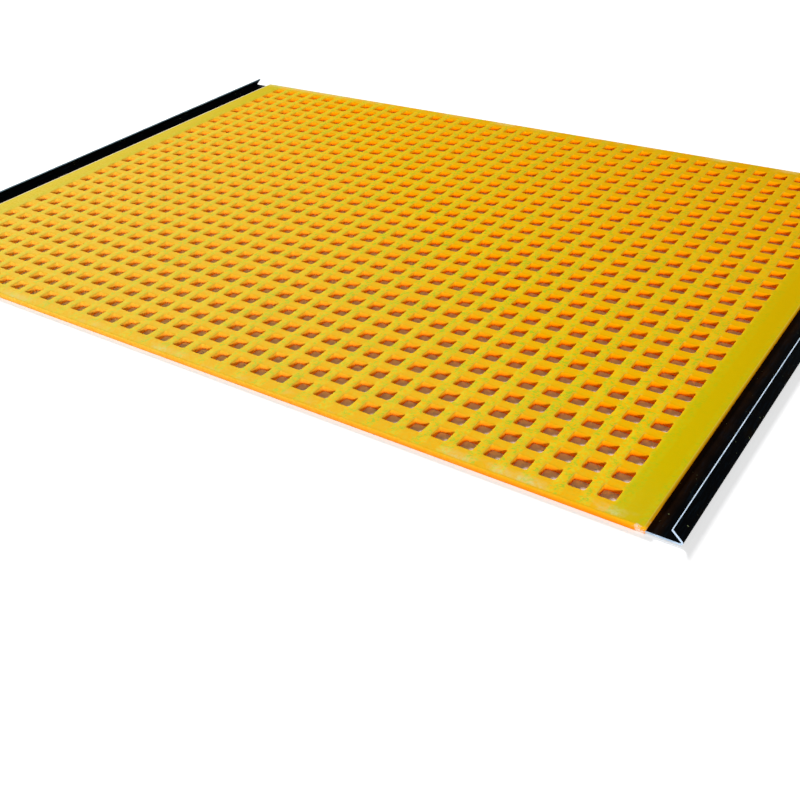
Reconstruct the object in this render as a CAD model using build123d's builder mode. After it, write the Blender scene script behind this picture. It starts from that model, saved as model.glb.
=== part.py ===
from build123d import *
import os

# Screening sheet pulled tight between two hooked edges. It lies flat, with its working face up.
# X runs from hook to hook, Y runs along the hooks and Z is up. The origin is on the floor, under
# the middle of the sheet. All sizes are in millimetres.

# Cast polyurethane sheet
sheet_length = 1714.0
sheet_width = 1255.0
sheet_thickness = 12.0
# Rounding of the working face's outer edges
rim_radius = 2.0

# Square apertures, spread evenly between two wide hook margins and two narrow end margins
aperture_size = 36.3
apertures_across = 27
apertures_along = 20
hook_margin = 56.0
end_margin = 29.0
# Each aperture wall leans back towards the underside by this much, so that no stone wedges in it.
aperture_relief = 1.0

# Steel strip, cast into each hook margin and folded back over itself outside the sheet
strip_thickness = 3.0
# Polyurethane left under the strip and over each of its ends
strip_cover = 1.5
# Solid polyurethane between the strip's hidden edge and the nearest apertures
anchor_land = 16.0
# From the sheet's edge to the outside of the fold
hook_width = 51.0
fold_inner_radius = 1.5
# Angle that the lip leaves open over the flat, and its straight length up to the raw edge
lip_angle = 45.0
lip_length = 20.0

# Sizes that follow from those above
pitch_across = (sheet_length - 2 * hook_margin - aperture_size) / (apertures_across - 1)
pitch_along = (sheet_width - 2 * end_margin - aperture_size) / (apertures_along - 1)
strip_length = sheet_width - 2 * strip_cover
anchor_width = hook_margin - anchor_land
anchor_centre = (sheet_length - anchor_width) / 2


def hook_strip(side):
    """One folded strip, at the +X edge for a side of 1 and at the -X edge for a side of -1."""
    fold_radius = fold_inner_radius + strip_thickness / 2
    mid_height = strip_cover + strip_thickness / 2
    hidden_edge = sheet_length / 2 - anchor_width
    fold_start = sheet_length / 2 + hook_width - strip_thickness - fold_inner_radius
    with BuildPart() as strip:
        with BuildSketch(Plane.XZ):
            with BuildLine():
                flat = Line((side * hidden_edge, mid_height), (side * fold_start, mid_height))
                fold = JernArc(flat @ 1, flat % 1, fold_radius, side * (180 - lip_angle))
                Line(fold @ 1, fold @ 1 + lip_length * (fold % 1))
            trace(line_width=strip_thickness)
        extrude(amount=strip_length / 2, both=True)
    return strip.part


# The core that leaves one aperture: its true size at the working face, wider at the underside
with BuildPart() as aperture_core:
    with BuildSketch():
        Rectangle(aperture_size + 2 * aperture_relief, aperture_size + 2 * aperture_relief)
    with BuildSketch(Plane.XY.offset(sheet_thickness)):
        Rectangle(aperture_size, aperture_size)
    loft()

# The sheet: one casting with a slot for each strip and the grid of apertures
with BuildPart() as screen_mat:
    with BuildSketch():
        Rectangle(sheet_length, sheet_width)
    extrude(amount=sheet_thickness)
    fillet(edges().group_by(Axis.Z)[-1], radius=rim_radius)
    with BuildSketch(Plane.XY.offset(strip_cover)):
        with Locations((anchor_centre, 0), (-anchor_centre, 0)):
            Rectangle(anchor_width, strip_length)
    extrude(amount=strip_thickness, mode=Mode.SUBTRACT)
    with GridLocations(pitch_across, pitch_along, apertures_across, apertures_along):
        add(aperture_core.part, mode=Mode.SUBTRACT)

pieces = {
    "screen_mat": screen_mat.part,
    "right_hook_strip": hook_strip(1),
    "left_hook_strip": hook_strip(-1),
}

os.makedirs("parts", exist_ok=True)
for name, piece in pieces.items():
    piece.label = name
    export_step(piece, f"parts/{name}.step")
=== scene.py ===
"""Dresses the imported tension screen: a cast polyurethane sheet between two folded steel hook strips."""

import logging
import math
from dataclasses import dataclass, field
from enum import Enum, IntEnum
from typing import NamedTuple

import bmesh
import bpy
from mathutils import Matrix, Vector, noise


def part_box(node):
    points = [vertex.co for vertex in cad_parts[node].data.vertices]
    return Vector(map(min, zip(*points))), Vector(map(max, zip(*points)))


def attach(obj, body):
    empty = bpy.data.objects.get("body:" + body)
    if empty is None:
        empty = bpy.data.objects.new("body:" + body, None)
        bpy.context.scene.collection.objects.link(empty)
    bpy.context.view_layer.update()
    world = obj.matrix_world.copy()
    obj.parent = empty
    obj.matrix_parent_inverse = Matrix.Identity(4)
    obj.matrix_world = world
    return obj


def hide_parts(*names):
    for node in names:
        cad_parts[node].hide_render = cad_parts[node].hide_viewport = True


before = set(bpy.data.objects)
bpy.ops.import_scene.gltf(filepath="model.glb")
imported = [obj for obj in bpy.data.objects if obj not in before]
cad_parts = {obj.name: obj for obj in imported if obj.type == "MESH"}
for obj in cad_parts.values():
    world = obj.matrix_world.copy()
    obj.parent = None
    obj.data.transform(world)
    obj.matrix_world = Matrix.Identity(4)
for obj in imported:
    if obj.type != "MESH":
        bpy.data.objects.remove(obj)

LOG = logging.getLogger("tension_screen")
BODY = "root"
MM = 0.001
WELD = 0.001 * MM
PHOTO_PIXELS = 800
SENSOR_MM = 36.0
RIGHT_ANGLE = 90
HALF_TURN = 180
STRAIGHT = 0.999
QUADRANTS = ((1, 1), (-1, 1), (-1, -1), (1, -1))

Colour = tuple[float, float, float, float]
Place = tuple[float, float, float]
Socket = bpy.types.NodeSocket
Vertex = bmesh.types.BMVert


class Slot(Enum):
    """Material slots of the record."""

    POLYURETHANE = "polyurethane"
    HOOK_STEEL = "hook_steel"


class Side(Enum):
    """The two hooked edges, by the sign of X on which each lies."""

    RIGHT = 1
    LEFT = -1


class Coat(IntEnum):
    """What covers a face of the strip, by the number of its material."""

    PAINT = 0
    RAW = 1


class EdgeState(Enum):
    """How the strip's raw edge is painted: bright with a painted reflection, or darker as painted shade, by
    the name of its material.
    """

    BRIGHT = "sheared_edge"
    SHADED_COPY = "shaded_edge"


@dataclass(frozen=True)
class Band:
    """Limits between which a value is taken from one result to another. Beyond them it is held."""

    low: float
    high: float
    to_low: float = 0.0
    to_high: float = 1.0


@dataclass(frozen=True)
class Grain:
    """How fine a noise is: its cycles per metre, its octaves and how strong the finer ones are."""

    scale: float
    octaves: float = 3.0
    roughness: float = 0.55


@dataclass(frozen=True)
class Relief:
    """How a bump stands: its full height in metres and how much of it shows."""

    depth: float
    strength: float


class Nodes:
    """A node tree with short calls to add nodes and join their sockets."""

    MIX_SHARE = 0
    MIX_FIRST = 6
    MIX_SECOND = 7
    MIX_RESULT = 2

    def __init__(self, tree: bpy.types.NodeTree) -> None:
        """Empties the tree and keeps it."""
        tree.nodes.clear()
        self.tree = tree

    def add(self, kind: str, inputs: dict | None = None, **settings: object) -> bpy.types.Node:
        """Adds a node.

        Args:
            kind: the node's type name without its ShaderNode prefix.
            inputs: values or sockets, by input name or number.
            settings: attributes of the node itself.

        Returns:
            The new node.
        """
        node = self.tree.nodes.new("ShaderNode" + kind)
        for name, value in settings.items():
            setattr(node, name, value)
        for name, value in (inputs or {}).items():
            if isinstance(value, Socket):
                self.tree.links.new(value, node.inputs[name])
            else:
                node.inputs[name].default_value = value
        return node

    def place(self) -> Socket:
        """The object's own coordinates, in metres."""
        return self.add("TexCoord").outputs["Object"]

    def stretched(self, place: Socket, scale: Place) -> Socket:
        """Coordinates scaled by a factor for each axis."""
        return self.add("Mapping", {"Vector": place, "Scale": scale}).outputs[0]

    def split(self, vector: Socket) -> tuple[Socket, Socket, Socket]:
        """The X, Y and Z of a vector."""
        return tuple(self.add("SeparateXYZ", {"Vector": vector}).outputs)

    def noise(self, place: Socket, grain: Grain) -> Socket:
        """Adds a noise.

        Args:
            place: the coordinates that it is read at, in metres.
            grain: how fine it is.

        Returns:
            The noise value's socket.
        """
        inputs = {"Vector": place, "Scale": grain.scale,
                  "Detail": grain.octaves, "Roughness": grain.roughness}
        return self.add("TexNoise", inputs).outputs["Fac"]

    def ramp(self, value: Socket, band: Band) -> Socket:
        """Takes a value through a band.

        Args:
            value: the socket to take through.
            band: the limits and the results at them.

        Returns:
            The result's socket.
        """
        inputs = {"Value": value, "From Min": band.low, "From Max": band.high,
                  "To Min": band.to_low, "To Max": band.to_high}
        return self.add("MapRange", inputs, clamp=True).outputs["Result"]

    def maths(self, operation: str, first: object, second: object = 0.0) -> Socket:
        """The result of a maths node on two values or sockets."""
        return self.add("Math", {0: first, 1: second}, operation=operation).outputs[0]

    def times(self, first: object, second: object) -> Socket:
        """The product of two values or sockets."""
        return self.maths("MULTIPLY", first, second)

    def larger(self, first: object, second: object) -> Socket:
        """The larger of two values or sockets."""
        return self.maths("MAXIMUM", first, second)

    def unsigned(self, value: Socket) -> Socket:
        """A value without its sign."""
        return self.maths("ABSOLUTE", value)

    def blend(self, share: object, first: object, second: object) -> Socket:
        """A mix of two colours or sockets, in which the second has the given share, from 0 to 1."""
        inputs = {self.MIX_SHARE: share, self.MIX_FIRST: first, self.MIX_SECOND: second}
        return self.add("Mix", inputs, data_type="RGBA").outputs[self.MIX_RESULT]

    def bump(self, height: Socket, relief: Relief, under: Socket | None = None) -> Socket:
        """Adds a bump.

        Args:
            height: the height's socket, from 0 to 1.
            relief: how it stands.
            under: the normal of a bump that this one lies on.

        Returns:
            The normal's socket.
        """
        inputs = {"Height": height, "Distance": relief.depth, "Strength": relief.strength}
        if under is not None:
            inputs["Normal"] = under
        return self.add("Bump", inputs).outputs["Normal"]

    def surface(self, **inputs: object) -> None:
        """Ends the tree in a principled surface.

        Args:
            inputs: its values or sockets, by the input's name with _ for a space.
        """
        named = {name.replace("_", " "): value for name, value in inputs.items()}
        shader = self.add("BsdfPrincipled", named)
        self.add("OutputMaterial", {"Surface": shader.outputs[0]})


def start_material(name: str) -> tuple[bpy.types.Material, Nodes]:
    """Starts a material.

    Args:
        name: the finish's name.

    Returns:
        The material and its emptied node tree.
    """
    material = bpy.data.materials.new(name)
    material.use_nodes = True
    return material, Nodes(material.node_tree)


def linear(red: int, green: int, blue: int) -> Colour:
    """Turns a screen colour into a linear one.

    Args:
        red: from 0 to 255.
        green: from 0 to 255.
        blue: from 0 to 255.

    Returns:
        The colour with an alpha of 1.
    """
    def channel(value: int) -> float:
        """The linear share of one 8-bit channel, by the sRGB curve."""
        share = value / 255
        return share / 12.92 if share <= 0.04045 else ((share + 0.055) / 1.055) ** 2.4
    return channel(red), channel(green), channel(blue), 1.0


def heading(quarters: float) -> Vector:
    """The level direction that lies some right angles counter-clockwise of +X."""
    turn = math.radians(RIGHT_ANGLE * quarters)
    return Vector((math.cos(turn), math.sin(turn), 0))


def around(items: list) -> zip:
    """Each item of a closed row with the one after it."""
    return zip(items, items[1:] + items[:1])


@dataclass(frozen=True)
class CastPolyurethane:
    """Cast polyurethane: mottled yellow, greener where it is solid. Painted sheen lies along its free edges
    and towards the near left, painted shade on the aperture walls, the cross ribs and the far right, and
    painted highlights on edges that face +X and on the left rim.

    Places are in metres from the middle of the sheet.
    """

    name: str = "cast_polyurethane"
    yellow: Colour = linear(228, 208, 38)
    orange_yellow: Colour = linear(250, 186, 2)
    green_yellow: Colour = linear(172, 196, 34)
    solid_yellow: Colour = linear(196, 186, 0)
    # Painted shade: the cross ribs between the apertures are oranger than the ribs along the hooks.
    cross_rib_shade: Colour = linear(246, 178, 0)
    # Painted shade: the aperture walls are oranger than the working face, and redder towards the underside.
    shaded_wall: Colour = linear(238, 178, 4)
    deep_wall_shade: Colour = linear(252, 140, 0)
    # Painted highlight on the rounded edges that face +X.
    rubbed_and_edge_highlight: Colour = linear(248, 208, 70)
    # Painted sheen, paler towards the near left and broken up by flecks.
    near_left_sheen: Colour = linear(252, 224, 100)
    shaded: Colour = linear(212, 148, 0)
    # Painted sheen in patches along the free edges and all over near the left end.
    edge_sheen: Colour = linear(226, 220, 150)
    # Pale scuffs at the corners; the same colour paints the left rim's highlight.
    scuff_and_rim_highlight: Colour = linear(240, 226, 214)

    broad_areas: Grain = Grain(9.0, 4.0)
    patches: Grain = Grain(75.0, 3.0, 0.65)
    flecks: Grain = Grain(170.0, 3.0, 0.75)
    edge_sheen_patches: Grain = Grain(11.0, 5.0, 0.6)
    edge_sheen_flecks: Grain = Grain(160.0)
    scuff_flecks: Grain = Grain(130.0, 4.0, 0.7)
    gloss_patches: Grain = Grain(60.0, 4.0)
    waves: Grain = Grain(48.0, 2.0)
    peel: Grain = Grain(420.0, 3.0, 0.6)

    orange_fleck: Band = Band(0.42, 0.58)
    green_patch: Band = Band(0.53, 0.40)
    green_area: Band = Band(0.50, 0.65, 0.0, 0.5)
    green_fleck: Band = Band(0.56, 0.42, 0.1, 1.0)
    cross_rib_start: float = 0.42
    cross_rib_full: float = 0.70
    cross_rib_share: float = 0.8
    hook_margin: Band = Band(0.797, 0.807, 0.0, 0.7)
    end_margin: Band = Band(0.606, 0.622)
    fade_direction: Place = (0.6, 0.8, 0.0)
    shaded_side: Band = Band(0.1, 0.9, 0.0, 0.6)
    sheen_side: Band = Band(0.1, -0.9, 0.0, 0.6)
    sheen_fleck: Band = Band(0.4, 0.6, 1.0, 0.5)
    sheen_end: Band = Band(-0.45, -0.65)
    edge_sheen_patch: Band = Band(0.50, 0.66)
    edge_sheen_fleck: Band = Band(0.35, 0.65, 0.2, 0.8)
    flat: Band = Band(0.62, 0.99)
    wall_depth: Band = Band(0.0105, 0.0030)
    crown_rise: Band = Band(0.6, 0.8)
    crown_turn: Band = Band(0.10, 0.35, 0.0, 0.7)
    hook_rim: Band = Band(0.8545, 0.8560)
    end_rim: Band = Band(0.6245, 0.6260)
    corner_aside: Band = Band(0.835, 0.850)
    corner_ahead: Band = Band(0.605, 0.620)
    scuff_fleck: Band = Band(0.5, 0.6)
    scuff_share: float = 0.85
    # Painted highlight along the upper rounding of the left rim.
    left_rim_highlight: Band = Band(-0.8510, -0.8525, 0.0, 0.75)
    rim_highlight_height: Band = Band(0.0090, 0.0105)
    roughness: Band = Band(0.3, 0.7, 0.48, 0.68)
    wave_relief: Relief = Relief(1.1 * MM, 0.5)
    peel_relief: Relief = Relief(0.16 * MM, 0.6)
    specular: float = 0.002

    def build(self, pitch: float, rib: float) -> bpy.types.Material:
        """Makes the material.

        Args:
            pitch: the spacing of the ribs that run along the hooks, one of which lies in the middle.
            rib: their width.

        Returns:
            The finished material.
        """
        material, nodes = start_material(self.name)
        place = nodes.place()
        across, _, height = nodes.split(place)
        facing_x, _, facing_z = nodes.split(nodes.add("NewGeometry").outputs["Normal"])
        flecks = nodes.noise(place, self.flecks)
        dot = nodes.add("VectorMath", {0: place, 1: self.fade_direction}, operation="DOT_PRODUCT")
        fade = dot.outputs["Value"]

        skin = self.mottled_skin(nodes, place, flecks)
        # The cross ribs are painted oranger than the ribs along the hooks: painted shade of their rounded
        # tops.
        off_rib = nodes.maths("PINGPONG", across, pitch / 2)
        beside_rib = Band(rib * self.cross_rib_start, rib * self.cross_rib_full, 0.0, self.cross_rib_share)
        skin = nodes.blend(nodes.ramp(off_rib, beside_rib), skin, self.cross_rib_shade)
        skin = nodes.blend(nodes.ramp(nodes.unsigned(across), self.hook_margin), skin, self.solid_yellow)
        skin = nodes.blend(nodes.ramp(fade, self.shaded_side), skin, self.shaded)
        # Painted sheen along the free edges and near the left end.
        skin = nodes.blend(self.edge_sheen_share(nodes, place), skin, self.edge_sheen)

        # The aperture walls are painted oranger than the working face and redder towards the underside:
        # painted shade of the recess.
        shaded_wall = nodes.blend(nodes.ramp(height, self.wall_depth), self.shaded_wall, self.deep_wall_shade)
        colour = nodes.blend(nodes.ramp(nodes.unsigned(facing_z), self.flat), shaded_wall, skin)
        # Painted sheen: paler towards the near left, on the face and the walls, broken up by the flecks.
        dust_and_sheen = nodes.times(nodes.ramp(fade, self.sheen_side), nodes.ramp(flecks, self.sheen_fleck))
        colour = nodes.blend(dust_and_sheen, colour, self.near_left_sheen)
        # Painted highlight: rounded edges that face +X are painted paler.
        edge_highlight = nodes.times(nodes.ramp(facing_z, self.crown_rise), nodes.ramp(facing_x, self.crown_turn))
        colour = nodes.blend(edge_highlight, colour, self.rubbed_and_edge_highlight)
        colour = nodes.blend(self.scuffed_share(nodes, place), colour, self.scuff_and_rim_highlight)
        # Painted highlight: a pale line along the upper rounding of the left rim, in the scuffs' colour.
        rim_highlight = nodes.times(nodes.ramp(across, self.left_rim_highlight), nodes.ramp(height, self.rim_highlight_height))
        colour = nodes.blend(rim_highlight, colour, self.scuff_and_rim_highlight)

        roughness = nodes.ramp(nodes.noise(place, self.gloss_patches), self.roughness)
        normal = nodes.bump(nodes.noise(place, self.waves), self.wave_relief)
        normal = nodes.bump(nodes.noise(place, self.peel), self.peel_relief, normal)
        nodes.surface(Base_Color=colour, Roughness=roughness, Specular_IOR_Level=self.specular, Normal=normal)
        return material

    def mottled_skin(self, nodes: Nodes, place: Socket, flecks: Socket) -> Socket:
        """The yellow of the working face, with its orange flecks and green patches.

        Args:
            nodes: the material's nodes.
            place: the coordinates.
            flecks: the noise of the flecks.

        Returns:
            The colour's socket.
        """
        skin = nodes.blend(nodes.ramp(flecks, self.orange_fleck), self.yellow, self.orange_yellow)
        patches = nodes.ramp(nodes.noise(place, self.patches), self.green_patch)
        areas = nodes.ramp(nodes.noise(place, self.broad_areas), self.green_area)
        green = nodes.times(nodes.maths("ADD", patches, areas), nodes.ramp(flecks, self.green_fleck))
        return nodes.blend(nodes.maths("MINIMUM", green, 1.0), skin, self.green_yellow)

    def edge_sheen_share(self, nodes: Nodes, place: Socket) -> Socket:
        """How much of the painted sheen shows: in patches along the free edges, all over near the left end.

        Args:
            nodes: the material's nodes.
            place: the coordinates.

        Returns:
            The share's socket.
        """
        across, along, _ = nodes.split(place)
        edge = nodes.ramp(nodes.unsigned(along), self.end_margin)
        patches = nodes.ramp(nodes.noise(place, self.edge_sheen_patches), self.edge_sheen_patch)
        worn = nodes.ramp(across, self.sheen_end)
        edge_sheen = nodes.larger(nodes.times(patches, edge), nodes.times(worn, edge))
        return nodes.times(edge_sheen, nodes.ramp(nodes.noise(place, self.edge_sheen_flecks), self.edge_sheen_fleck))

    def scuffed_share(self, nodes: Nodes, place: Socket) -> Socket:
        """How far the rim is scuffed pale, which it is near the sheet's four corners.

        Args:
            nodes: the material's nodes.
            place: the coordinates.

        Returns:
            The share's socket.
        """
        across, along, _ = nodes.split(place)
        aside = nodes.unsigned(across)
        ahead = nodes.unsigned(along)
        rim = nodes.larger(nodes.ramp(aside, self.hook_rim), nodes.ramp(ahead, self.end_rim))
        corner = nodes.times(nodes.ramp(aside, self.corner_aside), nodes.ramp(ahead, self.corner_ahead))
        scuffs = nodes.times(nodes.ramp(nodes.noise(place, self.scuff_flecks), self.scuff_fleck), corner)
        return nodes.times(nodes.times(scuffs, rim), self.scuff_share)


@dataclass(frozen=True)
class HookPaint:
    """Near-black paint with a cold cast, rubbed through in streaks and chipped, with a painted brown
    reflection of the sheet beside it.

    Places are in metres from the middle of the sheet.
    """

    name: str = "hook_paint"
    paint: Colour = linear(3, 4, 5)
    rubbed_and_edge_highlight: Colour = linear(10, 22, 30)
    chip: Colour = linear(120, 130, 90)
    dust_and_sheen: Colour = linear(24, 16, 6)
    # Painted reflection of the yellow sheet, brown on the paint beside it.
    sheet_reflection: Colour = linear(44, 22, 2)

    streaks: Grain = Grain(260.0, 4.0, 0.6)
    blotches: Grain = Grain(24.0, 5.0, 0.65)
    specks: Grain = Grain(210.0, 2.0, 0.5)
    streak_stretch: Place = (1.0, 0.12, 1.0)

    rubbed_streak: Band = Band(0.50, 0.75, 0.0, 0.8)
    dusty_blotch: Band = Band(0.52, 0.72, 0.0, 0.45)
    reflection_reach: Band = Band(0.857, 0.879, 0.9, 0.0)
    reflection_blotch: Band = Band(0.35, 0.60, 0.3, 1.0)
    chip_speck: Band = Band(0.70, 0.73)
    chip_blotch: Band = Band(0.50, 0.56)
    roughness: Band = Band(0.35, 0.65, 0.34, 0.52)
    streak_relief: Relief = Relief(0.12 * MM, 0.5)
    specular: float = 0.003

    def build(self) -> bpy.types.Material:
        """Makes the material.

        Returns:
            The finished material.
        """
        material, nodes = start_material(self.name)
        place = nodes.place()
        streaks = nodes.noise(nodes.stretched(place, self.streak_stretch), self.streaks)
        blotches = nodes.noise(place, self.blotches)
        specks = nodes.noise(place, self.specks)
        across, _, _ = nodes.split(place)

        colour = nodes.blend(nodes.ramp(streaks, self.rubbed_streak), self.paint, self.rubbed_and_edge_highlight)
        colour = nodes.blend(nodes.ramp(blotches, self.dusty_blotch), colour, self.dust_and_sheen)
        # Painted reflection: the paint is browner beside the sheet, as if it mirrored the sheet's side.
        beside_sheet = nodes.ramp(nodes.unsigned(across), self.reflection_reach)
        sheet_reflection = nodes.times(beside_sheet, nodes.ramp(blotches, self.reflection_blotch))
        colour = nodes.blend(sheet_reflection, colour, self.sheet_reflection)
        chips = nodes.times(nodes.ramp(specks, self.chip_speck), nodes.ramp(blotches, self.chip_blotch))
        colour = nodes.blend(chips, colour, self.chip)
        roughness = nodes.ramp(blotches, self.roughness)
        normal = nodes.bump(streaks, self.streak_relief)
        nodes.surface(Base_Color=colour, Roughness=roughness, Specular_IOR_Level=self.specular, Normal=normal)
        return material


@dataclass(frozen=True)
class ShearedEdge:
    """The raw edge that the shear left on the strip, with fine lines across its thickness.

    Each state has a clear and a dull colour. The bright one is bare steel painted pale blue-white, partly a
    painted reflection of the sky; the other is a darker copy of it, painted shade.
    """

    state: EdgeState = EdgeState.BRIGHT
    # Bare steel, painted pale blue-white: partly a painted reflection of the sky.
    bright: tuple[Colour, Colour] = (linear(196, 216, 238), linear(120, 150, 180))
    # A darker copy of the same edge: painted shade.
    shaded_copy: tuple[Colour, Colour] = (linear(84, 116, 130), linear(40, 62, 74))

    lines: Grain = Grain(900.0)
    stains: Grain = Grain(42.0, 4.0)
    line_stretch: Place = (0.1, 1.0, 0.1)

    dull_stain: Band = Band(0.45, 0.75, 0.0, 0.8)
    dull_line: Band = Band(0.55, 0.80, 0.0, 0.4)
    line_relief: Relief = Relief(0.08 * MM, 0.5)
    roughness: float = 0.38
    metallic: float = 0.1
    specular: float = 0.2

    def build(self) -> bpy.types.Material:
        """Makes the material.

        Returns:
            The finished material.
        """
        material, nodes = start_material(self.state.value)
        place = nodes.place()
        lines = nodes.noise(nodes.stretched(place, self.line_stretch), self.lines)
        stains = nodes.noise(place, self.stains)
        # The dull state is a darker copy of the bright one: painted shade.
        clear, dull = self.bright if self.state is EdgeState.BRIGHT else self.shaded_copy
        colour = nodes.blend(nodes.ramp(stains, self.dull_stain), clear, dull)
        colour = nodes.blend(nodes.ramp(lines, self.dull_line), colour, dull)
        normal = nodes.bump(lines, self.line_relief)
        nodes.surface(Base_Color=colour, Metallic=self.metallic, Roughness=self.roughness,
                      Specular_IOR_Level=self.specular, Normal=normal)
        return material


def finish_mesh(mesh: bmesh.types.BMesh, name: str, materials: list[bpy.types.Material],
                smooth_degrees: float = 30.0) -> bpy.types.Object:
    """Turns a mesh in the making into an object in the scene.

    Args:
        mesh: the mesh, in metres; it is freed.
        name: the piece's name.
        materials: its materials, in the order of the faces' numbers.
        smooth_degrees: edges that turn less than this are shaded smooth.

    Returns:
        The new object.
    """
    bmesh.ops.recalc_face_normals(mesh, faces=mesh.faces)
    limit = math.radians(smooth_degrees)
    for face in mesh.faces:
        face.smooth = True
    for edge in mesh.edges:
        edge.smooth = len(edge.link_faces) == 2 and edge.calc_face_angle(0.0) < limit
    data = bpy.data.meshes.new(name)
    mesh.to_mesh(data)
    mesh.free()
    piece = bpy.data.objects.new(name, data)
    bpy.context.scene.collection.objects.link(piece)
    for material in materials:
        data.materials.append(material)
    return piece


class Station(NamedTuple):
    """A place on the sheet's rim: the lattice corner that it faces and its outward direction."""

    column: int
    row: int
    outward: Vector

    def faces_hook(self) -> bool:
        """Whether it lies on the straight part of a hooked edge."""
        return abs(self.outward.x) > STRAIGHT


@dataclass
class ScreenSheet:
    """The cast sheet with its full grid of rounded square apertures. Sizes are in metres."""

    node: str = "screen_mat"
    across: int = 36
    along: int = 27
    aperture: float = 27.0 * MM
    hook_margin: float = 56.0 * MM
    end_margin: float = 29.0 * MM
    relief: float = 1.0 * MM
    corner_radius: float = 3.2 * MM
    corner_steps: int = 3
    lip_depth: float = 1.8 * MM
    lip_width_x: float = 2.4 * MM
    lip_width_y: float = 7.0 * MM
    lip_steps: int = 3
    rim_radius: float = 3.2 * MM
    rim_steps: int = 5
    foot_radius: float = 0.6 * MM
    foot_steps: int = 2
    slot_depth: float = 40.0 * MM
    slot_low: float = 1.5 * MM
    slot_high: float = 4.5 * MM
    smooth_degrees: float = 50.0
    finish: CastPolyurethane = field(default_factory=CastPolyurethane)
    half_x: float = field(init=False)
    half_y: float = field(init=False)
    top: float = field(init=False)
    pitch_x: float = field(init=False)
    pitch_y: float = field(init=False)
    xs: list[float] = field(init=False)
    ys: list[float] = field(init=False)

    def __post_init__(self) -> None:
        """Takes the sheet's outer size from the frame and works out the grid."""
        _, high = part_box(self.node)
        self.half_x, self.half_y, self.top = high.x, high.y, high.z
        field_x = 2 * (self.half_x - self.hook_margin)
        field_y = 2 * (self.half_y - self.end_margin)
        self.pitch_x = (field_x - self.aperture) / (self.across - 1)
        self.pitch_y = (field_y - self.aperture) / (self.along - 1)
        self.xs = self.lattice(self.across, self.pitch_x)
        self.ys = self.lattice(self.along, self.pitch_y)

    @staticmethod
    def lattice(count: int, pitch: float) -> list[float]:
        """Places of the lines that run midway between the apertures, one more than there are apertures."""
        return [(number - count / 2) * pitch for number in range(count + 1)]

    def ring(self, mesh: bmesh.types.BMesh, centre: Vector, grow_x: float, grow_y: float) -> list[Vertex]:
        """One rounded square around an aperture.

        Args:
            mesh: the mesh to add to.
            centre: the middle of the ring.
            grow_x: how far it stands outside the aperture's true size across.
            grow_y: how far it stands outside the aperture's true size along.

        Returns:
            Its vertices, counter-clockwise, one group of corner_steps + 1 for each corner.
        """
        straight = self.aperture / 2 - self.corner_radius
        vertices = []
        for corner, (sign_x, sign_y) in enumerate(QUADRANTS):
            for step in range(self.corner_steps + 1):
                angle = math.radians(RIGHT_ANGLE * (corner + step / self.corner_steps))
                x = sign_x * straight + (self.corner_radius + grow_x) * math.cos(angle)
                y = sign_y * straight + (self.corner_radius + grow_y) * math.sin(angle)
                vertices.append(mesh.verts.new(centre + Vector((x, y, 0))))
        return vertices

    def cell_face(self, mesh: bmesh.types.BMesh, corners: list[Vertex], ring: list[Vertex]) -> None:
        """Fills the flat face between a cell's four corners and the ring of its aperture.

        Args:
            mesh: the mesh to add to.
            corners: the cell's corners, in the ring's order.
            ring: the ring's vertices.
        """
        group = self.corner_steps + 1
        for number, (corner, following) in enumerate(around(corners)):
            arc = ring[number * group:(number + 1) * group]
            for first, second in zip(arc, arc[1:]):
                mesh.faces.new((corner, second, first))
            mesh.faces.new((corner, following, ring[(number + 1) * group % len(ring)], arc[-1]))

    def aperture_walls(self, mesh: bmesh.types.BMesh, x: float,
                       y: float) -> tuple[list[Vertex], list[Vertex]]:
        """The walls of one aperture, from its eased upper edge down to the underside.

        Args:
            mesh: the mesh to add to.
            x: the aperture's centre across.
            y: the aperture's centre along.

        Returns:
            The ring at the working face and the ring at the underside.
        """
        rings = []
        for step in range(self.lip_steps + 1):
            turn = math.radians(RIGHT_ANGLE * step / self.lip_steps)
            centre = Vector((x, y, self.top - self.lip_depth * (1 - math.cos(turn))))
            share = 1 - math.sin(turn)
            rings.append(self.ring(mesh, centre, self.lip_width_x * share, self.lip_width_y * share))
        rings.append(self.ring(mesh, Vector((x, y, 0)), self.relief, self.relief))
        for upper, lower in zip(rings, rings[1:]):
            for above, below in zip(around(upper), around(lower)):
                mesh.faces.new((*above, *reversed(below)))
        return rings[0], rings[-1]

    def stations(self) -> list[Station]:
        """The stations of the rim, counter-clockwise from the front left corner.

        Returns:
            The stations. Those that turn a corner of the sheet share its lattice corner.
        """
        front = [(column, 0) for column in range(self.across + 1)]
        right = [(self.across, row) for row in range(self.along + 1)]
        back = [(column, self.along) for column in reversed(range(self.across + 1))]
        left = [(0, row) for row in reversed(range(self.along + 1))]
        stations = []
        for quarters, places in enumerate((front, right, back, left), start=-1):
            stations += [Station(column, row, heading(quarters)) for column, row in places]
            for step in range(1, self.rim_steps):
                stations.append(Station(*places[-1], heading(quarters + step / self.rim_steps)))
        return stations

    def rim_levels(self) -> list[tuple[float, float]]:
        """The rim's section, from the working face down to the underside.

        Returns:
            For each level, its height and how far it stands out from the face's flat part.
        """
        section = []
        for step in range(self.rim_steps + 1):
            angle = math.radians(RIGHT_ANGLE * step / self.rim_steps)
            height = self.top - self.rim_radius * (1 - math.cos(angle))
            section.append((height, self.rim_radius * math.sin(angle)))
        section += [(self.slot_high, self.rim_radius), (self.slot_low, self.rim_radius)]
        for step in range(self.foot_steps + 1):
            angle = math.radians(RIGHT_ANGLE * step / self.foot_steps)
            height = self.foot_radius * (1 - math.sin(angle))
            section.append((height, self.rim_radius - self.foot_radius * (1 - math.cos(angle))))
        return section

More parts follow.
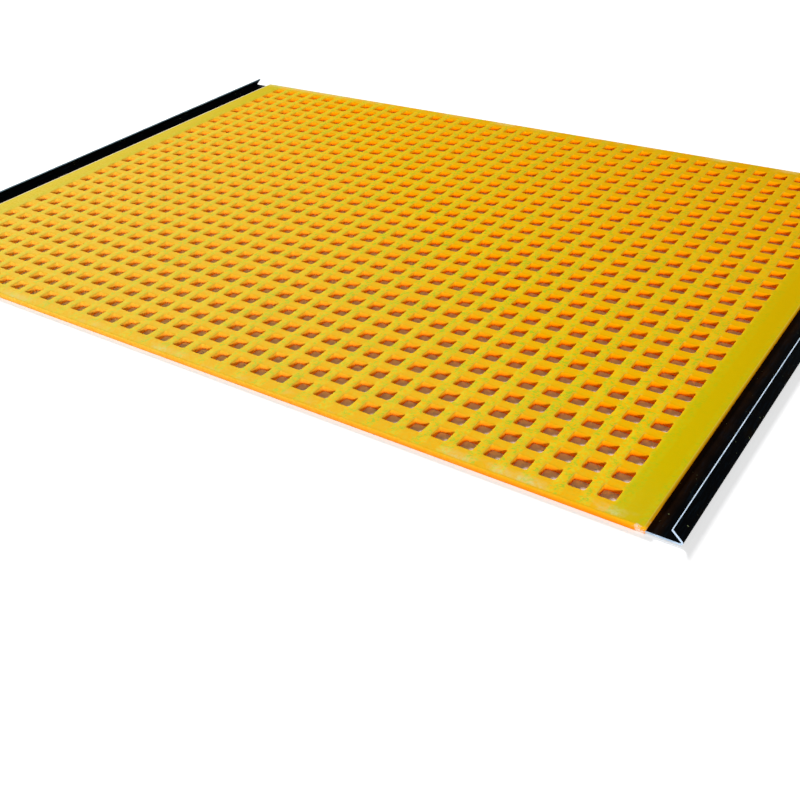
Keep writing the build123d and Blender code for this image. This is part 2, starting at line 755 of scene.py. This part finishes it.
    def flat_edge(self, station: Station) -> Vector:
        """The point beside a station where the working face stops being flat.

        Args:
            station: the station.

        Returns:
            The point, at the height of the underside.
        """
        x, y = self.xs[station.column], self.ys[station.row]
        if abs(station.outward.y) <= STRAIGHT:
            x = math.copysign(self.half_x - self.rim_radius, x)
        if abs(station.outward.x) <= STRAIGHT:
            y = math.copysign(self.half_y - self.rim_radius, y)
        return Vector((x, y, 0))

    def build(self) -> bpy.types.Object:
        """Makes the sheet.

        Returns:
            The finished piece, which rides on the body and stands for its node.
        """
        mesh = bmesh.new()
        grids = {height: [[mesh.verts.new((x, y, height)) for y in self.ys] for x in self.xs]
                 for height in (self.top, 0.0)}
        for i in range(self.across):
            for j in range(self.along):
                x = (self.xs[i] + self.xs[i + 1]) / 2
                y = (self.ys[j] + self.ys[j + 1]) / 2
                for grid, ring in zip(grids.values(), self.aperture_walls(mesh, x, y)):
                    corners = [grid[i + 1][j + 1], grid[i][j + 1], grid[i][j], grid[i + 1][j]]
                    self.cell_face(mesh, corners, ring)
        self.build_rim(mesh, grids)
        finish = self.finish.build(self.pitch_x, self.pitch_x - self.aperture)
        piece = finish_mesh(mesh, "cast_sheet", [finish], self.smooth_degrees)
        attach(piece, BODY)
        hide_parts(self.node)
        return piece

    def build_rim(self, mesh: bmesh.types.BMesh, grids: dict[float, list[list[Vertex]]]) -> None:
        """Adds the solid margins, the rounded rim and the two slots that hold the strips.

        Args:
            mesh: the mesh to add to.
            grids: the lattice corners, by height.
        """
        stations = self.stations()
        loops = []
        for height, out in self.rim_levels():
            lift = Vector((0, 0, height))
            places = [self.flat_edge(station) + station.outward * out + lift for station in stations]
            loops.append([mesh.verts.new(place) for place in places])

        slot_row = self.rim_steps + 1
        for row, (upper, lower) in enumerate(zip(loops, loops[1:])):
            for (first, second), above, below in zip(around(stations), around(upper), around(lower)):
                if row == slot_row and first.faces_hook() and second.faces_hook():
                    continue
                mesh.faces.new((*above, *reversed(below)))
        self.cut_slots(mesh, stations, loops[slot_row], loops[slot_row + 1])

        for loop, height in ((loops[0], self.top), (loops[-1], 0.0)):
            corners = [grids[height][station.column][station.row] for station in stations]
            for (here, following), (first, second) in zip(around(loop), around(corners)):
                inner = (first,) if first is second else (second, first)
                mesh.faces.new((here, following, *inner))
        bmesh.ops.remove_doubles(mesh, verts=loops[0], dist=WELD)

    def cut_slots(self, mesh: bmesh.types.BMesh, stations: list[Station], upper: list[Vertex],
                  lower: list[Vertex]) -> None:
        """Closes the openings of the wall into two slots, as deep as the strips are cast in.

        Args:
            mesh: the mesh to add to.
            stations: the rim's stations.
            upper: the loop at the slots' upper edge.
            lower: the loop at the slots' lower edge.
        """
        for side in Side:
            picked = [k for k, station in enumerate(stations) if station.outward.x * side.value > STRAIGHT]
            depth = Vector((side.value * self.slot_depth, 0, 0))
            inner = {k: [mesh.verts.new(vertex.co - depth) for vertex in (upper[k], lower[k])]
                     for k in picked}
            for k, n in zip(picked, picked[1:]):
                mesh.faces.new((upper[k], upper[n], inner[n][0], inner[k][0]))
                mesh.faces.new((lower[n], lower[k], inner[k][1], inner[n][1]))
                mesh.faces.new((inner[k][0], inner[n][0], inner[n][1], inner[k][1]))
            for k in (picked[0], picked[-1]):
                mesh.faces.new((upper[k], inner[k][0], inner[k][1], lower[k]))


class SectionPoint(NamedTuple):
    """A point of the strip's outline: its distance from the middle, its height and if a raw face follows."""

    x: float
    z: float
    raw: bool = False


@dataclass
class HookStrip:
    """One folded steel strip: flat, tight fold and lip, with a raw edge. Sizes are in metres."""

    side: Side
    thickness: float = 3.0 * MM
    fold_inner: float = 1.5 * MM
    fold_steps: int = 9
    lip_degrees: float = 45.0
    ease: float = 0.45 * MM
    stations: int = 90
    waviness: float = 0.22 * MM
    sways_per_metre: float = 4.0
    sway_lane: float = 3.7
    sway_slice: float = 0.5
    paint: HookPaint = field(default_factory=HookPaint)
    edge: ShearedEdge = field(default_factory=ShearedEdge)

    def bend(self, centre: Vector, radius: float) -> list[SectionPoint]:
        """Points around the fold, from below its centre to where the lip starts.

        Args:
            centre: the fold's centre, as distance from the middle and height.
            radius: the radius of this face of the fold.

        Returns:
            The points.
        """
        turn = math.radians(HALF_TURN - self.lip_degrees)
        points = []
        for step in range(self.fold_steps + 1):
            angle = math.radians(-RIGHT_ANGLE) + turn * step / self.fold_steps
            x = centre.x + radius * math.cos(angle)
            points.append(SectionPoint(x, centre.y + radius * math.sin(angle)))
        return points

    def section(self, hidden: float, tip: float, low: float, high: float) -> list[SectionPoint]:
        """The strip's outline on the +X side, counter-clockwise from the hidden edge's lower corner.

        Args:
            hidden: the hidden edge's distance from the middle.
            tip: the outside of the fold's distance from the middle.
            low: the height of the flat's underside.
            high: the height of the lip's highest point.

        Returns:
            Its points.
        """
        turn = math.radians(HALF_TURN - self.lip_degrees)
        outer = self.fold_inner + self.thickness
        centre = Vector((tip - outer, low + outer))
        rise = Vector((math.cos(turn), math.sin(turn)))
        across = Vector((rise.y, -rise.x))
        outside_end = centre + across * outer
        inside_end = centre + across * self.fold_inner
        length = (high - outside_end.y) / rise.y
        outside_tip = outside_end + rise * length
        inside_tip = inside_end + rise * length
        return [
            SectionPoint(hidden, low),
            *self.bend(centre, outer),
            SectionPoint(*(outside_tip - rise * self.ease), raw=True),
            SectionPoint(*(outside_tip - across * self.ease), raw=True),
            SectionPoint(*(inside_tip + across * self.ease), raw=True),
            SectionPoint(*(inside_tip - rise * self.ease)),
            *reversed(self.bend(centre, self.fold_inner)),
            SectionPoint(hidden, low + self.thickness),
        ]

    def build(self) -> bpy.types.Object:
        """Makes the strip.

        Returns:
            The finished piece, which rides on the body and stands for its node.
        """
        side_name = self.side.name.lower()
        node = f"{side_name}_hook_strip"
        low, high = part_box(node)
        hidden, tip = sorted((abs(low.x), abs(high.x)))
        points = self.section(hidden, tip, low.z, high.z)
        mesh = bmesh.new()
        loops = []
        for station in range(self.stations + 1):
            y = low.y + (high.y - low.y) * station / self.stations
            xs = [self.side.value * (point.x + self.drift(point.x, hidden, tip, y)) for point in points]
            loops.append([mesh.verts.new((x, y, point.z)) for x, point in zip(xs, points)])
        for first, second in zip(loops, loops[1:]):
            for point, near, far in zip(points, around(first), around(second)):
                face = mesh.faces.new((*near, *reversed(far)))
                face.material_index = Coat.RAW if point.raw else Coat.PAINT
        for loop in (loops[0], loops[-1]):
            mesh.faces.new(loop).material_index = Coat.RAW
        piece = finish_mesh(mesh, f"{side_name}_folded_hook", [self.paint.build(), self.edge.build()])
        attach(piece, BODY)
        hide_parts(node)
        return piece

    def drift(self, x: float, hidden: float, tip: float, y: float) -> float:
        """How far a point leans inwards where the strip was folded a little unevenly.

        Args:
            x: the point's distance from the middle.
            hidden: the hidden edge's distance from the middle.
            tip: the outside of the fold's distance from the middle.
            y: the point's place along the strip.

        Returns:
            The lean, which is nought at the hidden edge and never outwards.
        """
        share = (x - hidden) / (tip - hidden)
        lane = self.side.value * self.sway_lane
        sway = noise.noise(Vector((self.sways_per_metre * y, lane, self.sway_slice)))
        return -self.waviness * share * share * (1 + sway) / 2


@dataclass(frozen=True)
class Lamp:
    """A far soft lamp: where it stands from the object, its strength and its breadth in degrees."""

    name: str
    direction: Place
    strength: float
    spread: float

    def build(self) -> None:
        """Hangs the lamp and turns it to the object."""
        data = bpy.data.lights.new(self.name, "SUN")
        data.energy = self.strength
        data.angle = math.radians(self.spread)
        lamp = bpy.data.objects.new(self.name, data)
        lamp.rotation_euler = Vector(self.direction).to_track_quat("Z", "Y").to_euler()
        bpy.context.scene.collection.objects.link(lamp)


@dataclass
class Studio:
    """Pale floor, soft light from behind on the left and the photograph's camera. Places are in metres."""

    eye: Place = (1.1960, -1.5994, 0.9123)
    look: Place = (-0.49221, 0.66209, -0.56513)
    right: Place = (0.82399, 0.56371, -0.05724)
    focal_pixels: float = 1012.5
    floor_half: float = 14.0
    floor_colour: Colour = (0.80, 0.80, 0.80, 1.0)
    floor_glow: float = 0.50
    key: Lamp = Lamp("key", (-0.70, 0.52, 0.47), 4.2, 12.0)
    fill: Lamp = Lamp("fill", (0.50, -0.80, 0.25), 2.9, 8.0)
    sky_colour: Colour = (0.96, 0.98, 1.0, 1.0)
    sky_strength: float = 0.1
    white: Colour = (1.0, 1.0, 1.0, 1.0)
    white_strength: float = 1.0

    def camera(self) -> None:
        """Places the camera where the photograph was taken from."""
        look = Vector(self.look).normalized()
        right = Vector(self.right)
        right = (right - look * right.dot(look)).normalized()
        up = right.cross(look)
        data = bpy.data.cameras.new("camera")
        data.sensor_width = SENSOR_MM
        data.lens = self.focal_pixels / PHOTO_PIXELS * SENSOR_MM
        camera = bpy.data.objects.new("camera", data)
        turn = Matrix((right, up, -look)).transposed().to_4x4()
        camera.matrix_world = Matrix.Translation(self.eye) @ turn
        bpy.context.scene.collection.objects.link(camera)
        bpy.context.scene.camera = camera

    def floor(self) -> None:
        """Lays the floor, which shows the background's white around the object and keeps its shadow. It has
        no glow under the sheet, so the floor seen through the apertures is darker: painted shade.
        """
        mesh = bmesh.new()
        bmesh.ops.create_grid(mesh, x_segments=1, y_segments=1, size=self.floor_half)
        material, nodes = start_material("floor")
        _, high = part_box("screen_mat")
        across, along, _ = nodes.split(nodes.place())
        # No glow where the sheet covers the floor: painted shade under the sheet.
        beside = nodes.maths("GREATER_THAN", nodes.unsigned(across), high.x)
        before = nodes.maths("GREATER_THAN", nodes.unsigned(along), high.y)
        uncovered = nodes.larger(beside, before)
        strength = nodes.times(nodes.times(self.seen(nodes), uncovered), self.floor_glow)
        shader = nodes.add("BsdfDiffuse", {"Color": self.floor_colour})
        glow = nodes.add("Emission", {"Strength": strength})
        both = nodes.add("AddShader", {0: shader.outputs[0], 1: glow.outputs[0]})
        nodes.add("OutputMaterial", {"Surface": both.outputs[0]})
        finish_mesh(mesh, "floor", [material])

    @staticmethod
    def seen(nodes: Nodes) -> Socket:
        """Whether a ray looks at the background, straight or through a gloss or glass.

        Args:
            nodes: the node tree that asks.

        Returns:
            A socket that is 1 for such a ray and 0 for one that only carries light.
        """
        path = nodes.add("LightPath")
        straight = nodes.larger(path.outputs["Is Camera Ray"], path.outputs["Is Glossy Ray"])
        return nodes.larger(straight, path.outputs["Is Transmission Ray"])

    def sky(self) -> None:
        """Sets the faint sky that lights the object and the white that is seen behind it."""
        world = bpy.data.worlds.new("sky")
        bpy.context.scene.world = world
        world.use_nodes = True
        nodes = Nodes(world.node_tree)
        sky = nodes.add("Background", {"Color": self.sky_colour, "Strength": self.sky_strength})
        white = nodes.add("Background", {"Color": self.white, "Strength": self.white_strength})
        mixed = nodes.add("MixShader", {0: self.seen(nodes), 1: sky.outputs[0], 2: white.outputs[0]})
        nodes.add("OutputWorld", {"Surface": mixed.outputs[0]})

    def build(self) -> None:
        """Sets up the whole studio: the key lamp behind on the left, the low fill beside the camera."""
        self.camera()
        self.floor()
        self.key.build()
        self.fill.build()
        self.sky()
        bpy.context.scene.view_settings.view_transform = "Standard"


def corners(bounds: object) -> list[list[float]]:
    """A box's lowest and highest corner as plain lists of numbers."""
    return [[float(value) for value in corner] for corner in bounds]


def main() -> None:
    """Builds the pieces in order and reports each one."""
    logging.basicConfig(level=logging.INFO, format="%(name)s: %(message)s")
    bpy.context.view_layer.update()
    # The left strip's raw edge is a darker copy of the right one's: painted shade.
    left_edge = ShearedEdge(EdgeState.SHADED_COPY)
    for builder in (ScreenSheet(), HookStrip(Side.RIGHT), HookStrip(Side.LEFT, edge=left_edge)):
        piece = builder.build()
        LOG.info("%s: %d faces", piece.name, len(piece.data.polygons))
    Studio().build()


if __name__ == "__main__":
    main()
